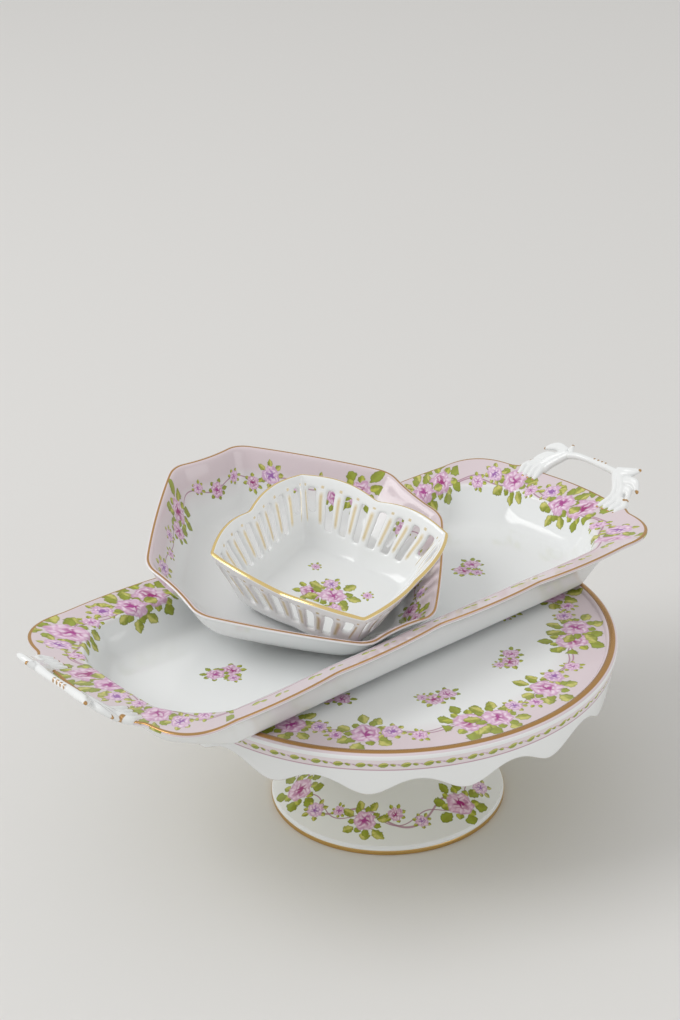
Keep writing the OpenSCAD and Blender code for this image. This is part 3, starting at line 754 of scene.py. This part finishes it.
def glaze(tree, shader, tint, gilt, tone="#BC9460"):
    # colour under the glaze, gold over it
    gold = add(tree, "Mix", {0: gilt, 6: tint, 7: colour(tone)}, 2, data_type="RGBA")
    tree.links.new(gold, shader.inputs["Base Color"])
    metal = add(tree, "Math", {0: gilt, 1: 0.8}, operation="MULTIPLY")
    tree.links.new(metal, shader.inputs["Metallic"])
    rough = add(tree, "MapRange", {0: gilt, 1: 0.0, 2: 1.0, 3: 0.07, 4: 0.24})
    tree.links.new(rough, shader.inputs["Roughness"])
    shader.inputs["IOR"].default_value = 1.5


def startGlaze(name):
    # hard white porcelain under a clear glaze
    made = bpy.data.materials.new(name)
    made.use_nodes = True
    tree = made.node_tree
    white = tree.nodes.new("ShaderNodeRGB")
    white.outputs[0].default_value = colour("#E9EBEB")
    return made, tree, tree.nodes["Principled BSDF"], white.outputs[0]


def banded(tree, value, low, high, soft):
    # 1 between two values
    up = add(tree, "MapRange", {0: value, 1: low - soft, 2: low + soft, 3: 0.0, 4: 1.0})
    down = add(tree, "MapRange", {0: value, 1: high - soft, 2: high + soft, 3: 1.0, 4: 0.0})
    return add(tree, "Math", {0: up, 1: down}, operation="MULTIPLY")


pink, mauve = "#D9CBD0", "#A8788F"


def leafBand(tree, under):
    # pale band with buds on a vine, round the side of the plate and the top of the skirt
    spot = add(tree, "TexCoord", {}, 3)
    x = add(tree, "SeparateXYZ", {0: spot})
    y, z = x.node.outputs[1], x.node.outputs[2]
    angle = add(tree, "Math", {0: y, 1: x}, operation="ARCTAN2")
    around = add(tree, "Math", {0: angle, 1: skirt["bandRadius"]}, operation="MULTIPLY")
    height = add(tree, "Math", {0: z, 1: 1 / mm}, operation="MULTIPLY")
    down = add(tree, "Math", {0: plate["top"] - skirt["bandFall"], 1: height}, operation="SUBTRACT")
    place = add(tree, "CombineXYZ", {0: around, 1: down})
    under = blended(tree, under, down, [(-4, 0), (-3.8, 0.9), (4.0, 0.9), (4.6, 0)], "#E0D5D8")
    pitch = 14.2
    under = stem(tree, under, place, pitch, 1.3, 0.4, 0.8, 0.0, "#C3A0B2")
    under = stem(tree, under, place, pitch, 0.0, 4.4, 0.8, 0.0, "#B48A9C")
    tile = bordered(tree, place, pitch, 0.0)
    under = stamp(tree, "leaf", under, tile, 1.2, 1.2, 7.6, -14, 2)
    return stamp(tree, "leaf", under, tile, 8.6, -0.6, 4.4, 24, 2)


def plateGlaze():
    # underglaze pink border and rose garland, burnished gold bead
    made, tree, shader, under = startGlaze("Garlanded Plate Glaze")
    decor = add(tree, "UVMap", {}, uv_map="decor")
    inward = add(tree, "SeparateXYZ", {0: decor}).node.outputs[1]
    under = blended(tree, under, inward, [(-2, 0), (-1.8, 1), (29, 1), (32, 0.35), (42, 0)], pink)
    under = leafBand(tree, under)
    # six repeats round the plate
    tile = 146.6
    place = bordered(tree, decor, tile, 30.0, 12.0)
    for wave, lift, shift in ((1.6, -0.8, 0.0), (1.6, 1.2, 0.6)):
        under = stem(tree, under, place, tile / 4, wave, lift, 0.9, shift, mauve)
    under = garland(tree, under, place, [
        (20, 1, 12.0, 0, 2, 10), (40, -3, 10.6, 1, 2, 35), (59, 2, 6.2, 2, 1, 60), (73, -5, 5.2, 3, 1, 100),
        (93, 0, 11.4, 1, 2, 25), (111, 3, 7.6, 2, 1, 80), (129, -4, 5.6, 3, 1, 5)])
    # eight smaller sprays nearer the middle, where the running length is shorter
    shorter = 0.64
    squeeze = add(tree, "VectorMath", {0: decor, 1: (shorter, 1, 1)}, operation="MULTIPLY")
    spray = bordered(tree, squeeze, plate["garland"] * 2 * math.pi * shorter / 8, 68.0, 18.0)
    under = garland(tree, under, spray, [
        (19, -1, 6.6, 0, 1, 30), (29, 2, 6.0, 1, 1, 75), (12, 4, 3.8, 3, 1, 10)])
    dark = banded(tree, inward, 5.2, 5.9, 0.12)
    under = add(tree, "Mix", {0: dark, 6: under, 7: colour("#8A6A48")}, 2, data_type="RGBA")
    glaze(tree, shader, under, banded(tree, inward, -0.6, 5.2, 0.15), "#B48A54")
    return made


def skirtGlaze():
    # white glaze with the leaf band above and a thin brown line on the scallops
    made, tree, shader, under = startGlaze("Scalloped Skirt Glaze")
    under = leafBand(tree, under)
    decor = add(tree, "UVMap", {}, uv_map="decor")
    down = add(tree, "SeparateXYZ", {0: decor}).node.outputs[1]
    under = blended(tree, under, down, [(0.95, 0), (0.985, 0.75), (1.2, 0.75)], "#B49A86")
    tree.links.new(under, shader.inputs["Base Color"])
    shader.inputs["Roughness"].default_value = 0.09
    return made


def footGlaze():
    # white glaze, rose garland on mauve stems, ochre gold at the edge
    made, tree, shader, under = startGlaze("Garlanded Foot Glaze")
    decor = add(tree, "UVMap", {}, uv_map="decor")
    up = add(tree, "SeparateXYZ", {0: decor}).node.outputs[1]
    tile = foot["garland"] * 2 * math.pi / 3
    place = bordered(tree, decor, tile, 27.0, 22.0)
    under = stem(tree, under, place, tile / 2, 7.0, 2.0, 1.5, 0.4, mauve)
    under = stem(tree, under, place, tile / 3, 4.0, 1.0, 0.8, 2.4, mauve)
    under = garland(tree, under, place, [
        (20, -1, 10.2, 0, 2, 10), (44, -4, 6.2, 2, 1, 50), (60, 3, 4.2, 3, 1, 20), (80, 0, 8.0, 1, 2, 35),
        (101, 6, 5.4, 0, 1, 70), (118, -2, 4.6, 2, 1, 0)])
    glaze(tree, shader, under, banded(tree, up, -1.0, 4.2, 0.25), "#C9A461")
    return made


def trayGlaze():
    # pink flange, garlands round three sides, leaf buds along the near one, gilt edge
    made, tree, shader, under = startGlaze("Garlanded Tray Glaze")
    decor = add(tree, "UVMap", {}, uv_map="decor")
    plan = add(tree, "UVMap", {}, uv_map="plan")
    inward = add(tree, "SeparateXYZ", {0: decor}).node.outputs[1]
    along = inward.node.outputs[0]
    under = blended(tree, under, inward, [(-2.5, 0), (-2.2, 1), (18.5, 1), (20.5, 0.25), (25, 0)], pink)
    tile = 139.0
    place = bordered(tree, decor, tile, 14.0, 398.0)
    full = stem(tree, under, place, tile / 3, 2.2, 3.5, 0.9, 0.0, mauve)
    full = stem(tree, full, place, tile / 3, 2.2, 1.2, 0.8, 0.5, mauve)
    full = garland(tree, full, place, [
        (18, 0, 11.0, 0, 2, 15), (37, 4, 9.6, 1, 2, 45), (55, -2, 6.4, 2, 1, 80), (71, 3, 5.2, 3, 1, 30),
        (92, 0, 10.4, 1, 2, 5), (110, -3, 6.4, 2, 1, 60), (124, 4, 5.2, 3, 1, 20)])
    sparse = stem(tree, under, place, tile / 2, 0.6, 3.6, 0.7, 0.0, mauve)
    few = bordered(tree, decor, 46.0, 11.0, 6.0)
    for x, y, long, turn, tint in ((8, 2, 8, 12, 2), (15, 3, 6, -25, 0), (26, -1, 7, 30, 2),
                                   (33, 1, 5, -15, 2)):
        sparse = stamp(tree, "leaf", sparse, few, x, y, long, turn, tint)
    # the near side of the rim, by its running length
    near = banded(tree, along, -5.0, 352.0, 3.0)
    under = add(tree, "Mix", {0: near, 6: full, 7: sparse}, 2, data_type="RGBA")
    # the sprigs on the floor stand in pairs, one at each end
    x = add(tree, "SeparateXYZ", {0: plan})
    paired = add(tree, "Math", {0: x}, operation="ABSOLUTE")
    paired = add(tree, "CombineXYZ", {0: paired, 1: x.node.outputs[1]})
    under = garland(tree, under, paired, [
        (107, 0, 7.2, 0, 1, 10), (118, 3, 6.6, 1, 1, 50), (112, -9, 4.2, 3, 1, 90)])
    glaze(tree, shader, under, banded(tree, inward, -1.0, 0.75, 0.15))
    return made


def dishGlaze():
    # white glaze, pink band and garland up the inner wall, brown gold edge
    made, tree, shader, under = startGlaze("Garlanded Dish Glaze")
    decor = add(tree, "UVMap", {}, uv_map="decor")
    inward = add(tree, "SeparateXYZ", {0: decor}).node.outputs[1]
    under = blended(tree, under, inward, [(-1.6, 0), (-1.4, 1), (15, 1), (26, 0.25), (34, 0)], pink)
    # one side and one cut corner, less what their eased meetings save
    tile = dish["width"] - 2 * dish["cut"] + 2 * dish["cut"] / math.sqrt(2) - 2
    place = bordered(tree, decor, tile, 22.0, -34.0)
    under = stem(tree, under, place, tile / 4, 2.5, 0.0, 0.8, 0.0, mauve)
    under = garland(tree, under, place, [
        (16, -2, 9.8, 0, 2, 15), (32, 4, 7.6, 1, 1, 40), (48, -4, 4.8, 2, 1, 70), (64, 2, 4.0, 3, 1, 10),
        (86, -3, 7.2, 2, 1, 25), (101, 4, 5.2, 0, 1, 60), (117, -2, 4.2, 3, 1, 85), (136, 2, 5.8, 1, 1, 35),
        (152, -3, 4.0, 3, 1, 0)])
    glaze(tree, shader, under, banded(tree, inward, -0.9, 0.45, 0.12))
    return made


def basketGlaze():
    # white glaze with gold strokes on the ribs, a gold rim line and a bouquet on the floor
    made, tree, shader, under = startGlaze("Pierced Basket Glaze")
    decor = add(tree, "UVMap", {}, uv_map="decor")
    plan = add(tree, "UVMap", {}, uv_map="plan")
    column = add(tree, "SeparateXYZ", {0: decor})
    height = column.node.outputs[1]
    share = add(tree, "Math", {0: column}, operation="FRACT")
    stroke = banded(tree, share, 0.43, 0.57, 0.05)
    stroke = add(tree, "Math", {0: stroke, 1: banded(tree, height, 18.0, 36.0, 1.5)}, operation="MULTIPLY")
    dot = banded(tree, share, 0.44, 0.56, 0.03)
    dot = add(tree, "Math", {0: dot, 1: banded(tree, height, 39.2, 40.8, 0.3)}, operation="MULTIPLY")
    rim = banded(tree, height, basket["crestLine"], 60.0, 0.1)
    gilt = add(tree, "Math", {0: stroke, 1: dot}, operation="ADD")
    gilt = add(tree, "Math", {0: gilt, 1: 0.7, 2: rim}, operation="MULTIPLY_ADD", use_clamp=True)
    under = garland(tree, under, plan, [
        (-9, -4, 8.2, 0, 1, 10), (5, 1, 9.0, 1, 2, 45), (-2, 11, 5.4, 2, 1, 90), (13, -11, 5.2, 3, 1, 20),
        (-21, 22, 3.4, 3, 1, 60), (25, 15, 3.6, 3, 1, 0)])
    glaze(tree, shader, under, gilt, "#E6CC8C")
    return made


def handleGlaze():
    # white glaze, gold touched on the tips
    made, tree, shader, under = startGlaze("Gilt Handle Glaze")
    touch = add(tree, "Attribute", {}, 2, attribute_name="gilt")
    glaze(tree, shader, under, touch)
    return made


def layPlan(piece, place):
    # second map, flat in the piece's own plan, in millimetres
    layer = piece.data.uv_layers.new(name="plan")
    level = place.inverted()
    flat = [level @ vert.co / mm for vert in piece.data.vertices]
    for loop in piece.data.loops:
        layer.data[loop.index].uv = flat[loop.vertex_index].xy


# ---- camera, light and stage ------------------------------------------------------------------

def makeStage():
    target = Vector((-0.0225, 0.0188, 0.2225))
    position = Vector((-0.7740, -0.8806, 0.7755))
    bpy.ops.object.camera_add(location=position)
    camera = bpy.context.object
    camera.name = "Camera"
    forward = (target - position).normalized()
    roll = Matrix.Rotation(math.radians(-1.44), 4, "Z")
    camera.rotation_euler = (forward.to_track_quat("-Z", "Y").to_matrix().to_4x4() @ roll).to_euler()
    camera.data.sensor_width = 36
    camera.data.lens = 67.9
    camera.data.clip_end = 60
    bpy.context.scene.camera = camera
    bpy.ops.mesh.primitive_plane_add(size=16)
    floor = bpy.context.object
    floor.name = "StudioFloor"
    paper = bpy.data.materials.new("Pale Paper Sweep")
    paper.use_nodes = True
    paper.node_tree.nodes["Principled BSDF"].inputs["Base Color"].default_value = colour("#DBDAD8")
    paper.node_tree.nodes["Principled BSDF"].inputs["Roughness"].default_value = 0.9
    floor.data.materials.append(paper)


print("camera and floor")
makeStage()
print("cake stand")
cakePlate, scallopedSkirt, pedestalFoot = makePlate(plate), makeSkirt(skirt), makeFoot(foot)
print("tray")
servingTray = makeTray(tray)
leftHandle, rightHandle = makeHandle("LeftHandle", -1, handle), makeHandle("RightHandle", 1, handle)
print("dish and basket")
cornerDish = makeDish(dish)
piercedBasket = makeBasket(basket)

print("decor")
upright = Matrix.Translation(Vector((tray["x"], tray["y"], tray["z"])) * mm)
handleFinish = handleGlaze()
for piece, body, node, place, finish in (
        (cakePlate, "stand", "cake_plate", Matrix.Identity(4), plateGlaze()),
        (scallopedSkirt, "stand", "scalloped_skirt", Matrix.Identity(4), skirtGlaze()),
        (pedestalFoot, "stand", "pedestal_foot", Matrix.Identity(4), footGlaze()),
        (servingTray, "tray", "tray_body", upright, trayGlaze()),
        (leftHandle, "tray", "tray_handle_left", handlePlace(-1), handleFinish),
        (rightHandle, "tray", "tray_handle_right", handlePlace(1), handleFinish),
        (cornerDish, "dish", "octagonal_dish", onTray(), dishGlaze()),
        (piercedBasket, "basket", "pierced_basket", basketPlace(basket), basketGlaze())):
    layPlan(piece, place)
    piece.data.materials.append(finish)
    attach(piece, body)
    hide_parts(node)
    print(piece.name, len(piece.data.polygons))

# a large soft window at the back left, and a pale reflector at the front right
for name, spot, aim, size, energy in (("Window", (-3.2, 1.8, 3.4), (0, 0, 0.1), 2.8, 104),
                                      ("Reflector", (0.7, -2.6, 0.35), (0, 0, 0.1), 1.6, 11)):
    bpy.ops.object.light_add(type="AREA", location=spot)
    lamp = bpy.context.object
    lamp.name = name
    lamp.data.size = size
    lamp.data.energy = energy
    lamp.rotation_euler = (Vector(aim) - lamp.location).to_track_quat("-Z", "Y").to_euler()
world = bpy.data.worlds.new("Studio")
bpy.context.scene.world = world
world.use_nodes = True
world.node_tree.nodes["Background"].inputs["Color"].default_value = (0.75, 0.745, 0.735, 1)
world.node_tree.nodes["Background"].inputs["Strength"].default_value = 0.96
bpy.context.scene.view_settings.view_transform = "Standard"
